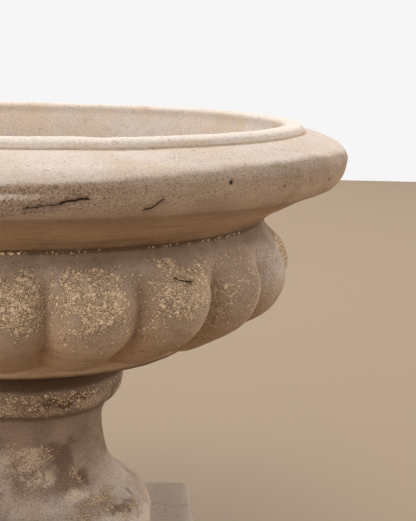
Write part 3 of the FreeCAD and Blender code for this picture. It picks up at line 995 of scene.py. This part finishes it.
def stone(name, body_dark=BODY_DARK, body_light=BODY_LIGHT, pale_tone=PALE, flake_dark=OCHRE,
          flake_light=OCHRE_LIGHT, grit=1.0):
    """Cast stone: a taupe body, worn pale on top, with ochre flakes, stains, painted shade, painted
    warm bounce light and a sandy grain.
    grit is how strongly the grain shows in its colour. Each painted value that it reads is 0 where
    a mesh has none."""
    shader = Shader(name, 0.92, specular=0.18)
    mix, step, noise, painted = shader.mix, shader.step, shader.noise, shader.painted
    plus, minus, times, most = shader.plus, shader.minus, shader.times, shader.most
    mottle = noise(34.0, 4.0, 0.55)
    streaks = step(noise(14.0, 4.0, 0.6, shader.stretched(0.35, 0.35, 5.0)), 0.45, 0.75)
    wander = noise(7.0, 3.0, 0.6)
    grain = noise(1.3, 2.0, 0.7)
    edges = plus(times(wander, 0.5), times(grain, 0.5))
    sand = noise(0.55, 1.0, 0.5)
    pocks = shader.cells(1.6, shader.stretched(0.65, 0.65, 1.7))
    pock_kind = shader.numbers(pocks)

    def ragged(paint, reach, low=0.15, high=0.9):
        """A painted value with its edge broken up by noise."""
        return step(plus(painted(paint), times(minus(edges, 0.5), reach)), low, high)

    body = mix(step(mottle, 0.35, 0.65), body_dark, body_light)
    # a warmer tone, and painted warm bounce light on the undersides where the meshes carry it
    body = mix(times(painted("warm_and_bounce"), 0.75), body, WARM_AND_BOUNCE)
    body = mix(step(sand, 0.56, 0.70, 0.0, 0.24), body, OCHRE)
    rough_tone = mix(step(grain, 0.36, 0.62), ROUGH_DARK, ROUGH_LIGHT)
    body = mix(painted("rough"), body, rough_tone)
    pale_warm = tuple(tone * share for tone, share in zip(pale_tone, PALE_WARMTH))
    pale_patchy = mix(step(mottle, 0.42, 0.66), pale_tone, pale_warm)
    body = mix(ragged("pale", 0.8), body, pale_patchy)
    body = mix(times(ragged("worn", 0.9), 0.85), body, WORN)
    body = mix(times(painted("warm_and_bounce"), times(streaks, 0.30)), body, GRIME_AND_SHADE)
    wash_tone = mix(step(grain, 0.4, 0.65), OCHRE, WASH_LIGHT)
    body = mix(times(ragged("wash", 2.6, 0.3, 0.75), 0.50), body, wash_tone)
    body = mix(times(ragged("red", 3.4, 0.3, 0.7), 0.70), body, RED)
    # grime, and painted shade round the seam, under the bowl and on the pedestal's collar
    body = mix(times(ragged("grime_and_shade", 0.5), 0.88), body, GRIME_AND_SHADE)

    place = shader.wobbled(0.9, 2.2)
    density = minus(times(painted("flake"), 1.5), step(wander, 0.42, 0.68, 0.0, 0.55))
    small, small_cell, small_kind = flake_layer(shader, density, 1.3, place)
    large, large_cell, large_kind = flake_layer(shader, times(density, 0.35), 2.5, place)
    flakes = most(small, large)
    kind = plus(times(small_kind, 0.6), times(large_kind, 0.4))
    flake_tone = mix(step(kind, 0.2, 0.8), flake_dark, flake_light)
    cracked = times(most(small_cell, large_cell), 0.52)
    body = mix(most(cracked, times(density, 0.16)), body, GRIME_AND_SHADE)
    body = mix(times(flakes, 0.88), body, flake_tone)

    courses = noise(5.0, 2.0, 0.5, shader.stretched(0.3, 0.3, 1.6))
    pitted = plus(times(painted("rough"), step(courses, 0.35, 0.65, 0.25, 0.95)), 0.03)
    pock = times(step(minus(pitted, pock_kind[1]), -0.02, 0.02),
                 step(pocks.outputs["Distance"], 0.16, 0.36, 1.0, 0.0))
    body = mix(times(pock, 0.70), body, GRIME_AND_SHADE)
    body = mix(times(painted("crack"), step(wander, 0.35, 0.6, 0.25, 0.75)), body, GRIME_AND_SHADE)
    split = plus(shader.maths("ABSOLUTE", painted("across")), times(grain, 1.3))
    split = times(step(split, 1.2, 1.75, 1.0, 0.0), step(painted("crack"), 0.3, 0.5))
    split = most(split, step(painted("dark"), 0.2, 0.6))
    body = mix(times(split, 0.95), body, CRACK)
    shade = plus(times(grain, 0.70 * grit), plus(times(sand, 0.40 * grit), 1.0 - 0.55 * grit))
    shader.colour(mix(1.0, body, shade, "MULTIPLY"))

    relief = plus(times(grain, 0.34), times(sand, 0.16))
    relief = plus(relief, times(flakes, 0.40))
    relief = plus(relief, times(pock, -0.55))
    shader.bump(relief, 0.55)
    return shader.material


def rubber(name, colour):
    """Matt rubber with a film of dust."""
    shader = Shader(name, 0.75, specular=0.35)
    dust = shader.step(shader.noise(6.0, 3.0), 0.45, 0.75)
    shader.colour(shader.mix(shader.times(dust, 0.35), colour, DUST))
    shader.bump(shader.noise(0.8, 2.0), 0.08)
    return shader.material


def zinc(name):
    """Zinc plate, duller and darker where it has bloomed."""
    shader = Shader(name, 0.42, metallic=0.9)
    bloom = shader.step(shader.noise(5.0, 4.0, 0.6), 0.4, 0.72)
    shader.colour(shader.mix(bloom, ZINC_BRIGHT, ZINC_BLOOM))
    shader.put(shader.surface.inputs["Roughness"], shader.step(bloom, 0.0, 1.0, 0.34, 0.62))
    shader.bump(shader.noise(1.5, 3.0), 0.05)
    return shader.material


# ---- tie rod

THREAD_PITCH = 1.75
THREAD_DEPTH = 1.07


def make_rod():
    """The tie rod with a thread cut round it from end to end, and a small bevel at each end."""
    around = 24
    per_turn = 6
    bevel = 1.6
    turn = np.arange(around) / around
    levels = np.arange(rod_low[2], rod_high[2] + 0.01, THREAD_PITCH / per_turn)
    phase = (levels[:, None] / THREAD_PITCH - turn[None, :]) % 1.0
    end = np.minimum(levels - levels[0], levels[-1] - levels)[:, None]
    cut = THREAD_DEPTH * np.clip(np.abs(phase * 2.0 - 1.0) * 1.5 - 0.25, 0.0, 1.0)
    depth = np.maximum(cut, THREAD_DEPTH * (1.0 - smooth(0.0, bevel, end)) * 1.05)
    build = Build()
    bottom, top = build.grid(turned_rows(rod_high[0] - depth, levels[:, None], turn * math.tau))
    middle = build.add([(0.0, 0.0, levels[0]), (0.0, 0.0, levels[-1])])
    i, k = ring_steps(around)
    build.face(np.stack([bottom + k, bottom + i, np.full(around, middle)], -1))
    build.face(np.stack([top + i, top + k, np.full(around, middle + 1)], -1))
    return build.mesh("threaded_rod", {})


# ---- pieces on the frame

bowl_stone = stone("bowl_stone")
pedestal_stone = stone(
    "pedestal_stone", body_dark=(0.160, 0.102, 0.068), body_light=(0.238, 0.160, 0.112),
    pale_tone=(0.45, 0.36, 0.295), flake_dark=(0.38, 0.245, 0.138),
    flake_light=(0.60, 0.435, 0.270), grit=1.5)
plinth_stone = stone(
    "plinth_stone", body_dark=(0.232, 0.180, 0.140), body_light=(0.262, 0.208, 0.164),
    pale_tone=(0.322, 0.260, 0.209))
gasket = rubber("gasket_rubber", (0.045, 0.040, 0.036))
steel = zinc("zinc_steel")

MADE = (  # node, maker, material, slot
    ("bowl", make_bowl, bowl_stone, "bowl_stone"),
    ("pedestal", make_pedestal, pedestal_stone, "pedestal_stone"),
    ("plinth", make_plinth, plinth_stone, "plinth_stone"),
    ("tie_rod", make_rod, steel, "zinc_steel"),
)
for node, make, surface, slot in MADE:
    piece = make()
    piece.data.materials.append(surface)
    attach(piece, "urn")
    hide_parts(node)

CARRIED = {
    "foot_pads": rubber("pad_rubber", (0.035, 0.035, 0.035)),
    "bowl_gasket": gasket, "plinth_gasket": gasket, "seal_washer": gasket,
    "upper_nut": steel, "upper_washer": steel, "lower_washer": steel, "lower_nut": steel,
    "drain_plug": rubber("plug_rubber", (0.085, 0.074, 0.062)),
}
for node, surface in CARRIED.items():
    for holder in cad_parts[node].material_slots:
        holder.material = surface


# ---- floor, light and camera

FLOOR_REACH = 3.15  # metres from the axis to the floor's edge
FLOOR_TURN = math.radians(-4.0)  # sets its far edge across the view
FLOOR_TONE = (0.252, 0.173, 0.103, 1.0)
LIGHTS = (  # name, place, target, size, watts, colour
    ("overhead", (-0.5, 0.1, 2.3), (0.0, 0.0, 0.3), 1.8, 23.5, (1.0, 0.99, 0.97)),
    ("front_fill", (-1.7, -2.1, 0.7), (0.0, 0.0, 0.2), 1.4, 33.0, (1.0, 0.98, 0.95)),
    ("right_fill", (2.2, 0.3, 0.6), (0.0, 0.0, 0.25), 1.4, 26.0, (1.0, 0.98, 0.94)),
    ("far_floor", (0.4, 2.6, 2.8), (0.4, 2.4, 0.0), 2.4, 78.0, (1.0, 0.99, 0.97)),
)


def add_floor():
    mesh = bpy.data.meshes.new("floor")
    c, s = FLOOR_REACH * math.cos(FLOOR_TURN), FLOOR_REACH * math.sin(FLOOR_TURN)
    corners = [(-1, -1), (1, -1), (1, 1), (-1, 1)]
    mesh.from_pydata([(c * x - s * y, s * x + c * y, 0.0) for x, y in corners], [], [(0, 1, 2, 3)])
    floor = linked("floor", mesh)
    surface = bpy.data.materials.new("pale_floor")
    surface.use_nodes = True
    shader = surface.node_tree.nodes["Principled BSDF"]
    shader.inputs["Base Color"].default_value = FLOOR_TONE
    shader.inputs["Roughness"].default_value = 0.6
    mesh.materials.append(surface)


def add_area(name, place, target, size, power, colour):
    light = bpy.data.lights.new(name, "AREA")
    light.shape = "SQUARE"
    light.size = size
    light.energy = power
    light.color = colour
    away = Vector(place) - Vector(target)
    turn = away.to_track_quat("Z", "Y").to_matrix().to_4x4()
    linked(name, light).matrix_world = Matrix.Translation(place) @ turn


def add_world():
    """A white backdrop at eye level, dimmer overhead and dim below, so that undersides fall off."""
    stops = ((0.0, (0.10, 0.08, 0.06)), (0.40, (0.16, 0.13, 0.10)), (0.43, (0.92, 0.92, 0.92)),
             (0.545, (0.92, 0.92, 0.92)), (0.62, (0.62, 0.62, 0.62)), (1.0, (0.80, 0.80, 0.80)))
    world = bpy.data.worlds.new("studio")
    bpy.context.scene.world = world
    world.use_nodes = True
    tree = world.node_tree
    place, axes, ramp, shift = (tree.nodes.new("ShaderNode" + kind)
                                for kind in ("TexCoord", "SeparateXYZ", "ValToRGB", "MapRange"))
    shift.inputs["From Min"].default_value = -1.0
    tree.links.new(place.outputs["Generated"], axes.inputs[0])
    tree.links.new(axes.outputs["Z"], shift.inputs["Value"])
    tree.links.new(shift.outputs["Result"], ramp.inputs["Fac"])
    tree.links.new(ramp.outputs["Color"], tree.nodes["Background"].inputs["Color"])
    elements = ramp.color_ramp.elements
    for position, _ in stops[2:]:
        elements.new(position)
    for element, (position, tone) in zip(elements, stops):
        element.position = position
        element.color = (*tone, 1.0)


def add_camera():
    """The camera stands in front of the urn and looks past its right side, a little down."""
    place = (0.0848, -0.8848, 0.4605)
    heading = math.radians(4.0)  # the view's direction, from +Y towards +X
    down = math.radians(10.853)
    roll = math.radians(1.27)
    level = Vector((math.cos(heading), -math.sin(heading), 0.0))
    forward = Vector((math.sin(heading) * math.cos(down), math.cos(heading) * math.cos(down),
                      -math.sin(down)))
    upright = level.cross(forward)
    right = level * math.cos(roll) + upright * math.sin(roll)
    up = upright * math.cos(roll) - level * math.sin(roll)
    camera = bpy.data.cameras.new("camera")
    camera.lens = 76.0
    camera.sensor_width = 36.0
    view = linked("camera", camera)
    turn = Matrix((right, up, -forward)).transposed().to_4x4()
    view.matrix_world = Matrix.Translation(place) @ turn
    bpy.context.scene.camera = view


add_floor()
add_world()
for light in LIGHTS:
    add_area(*light)
add_camera()
bpy.context.scene.view_settings.view_transform = "Standard"
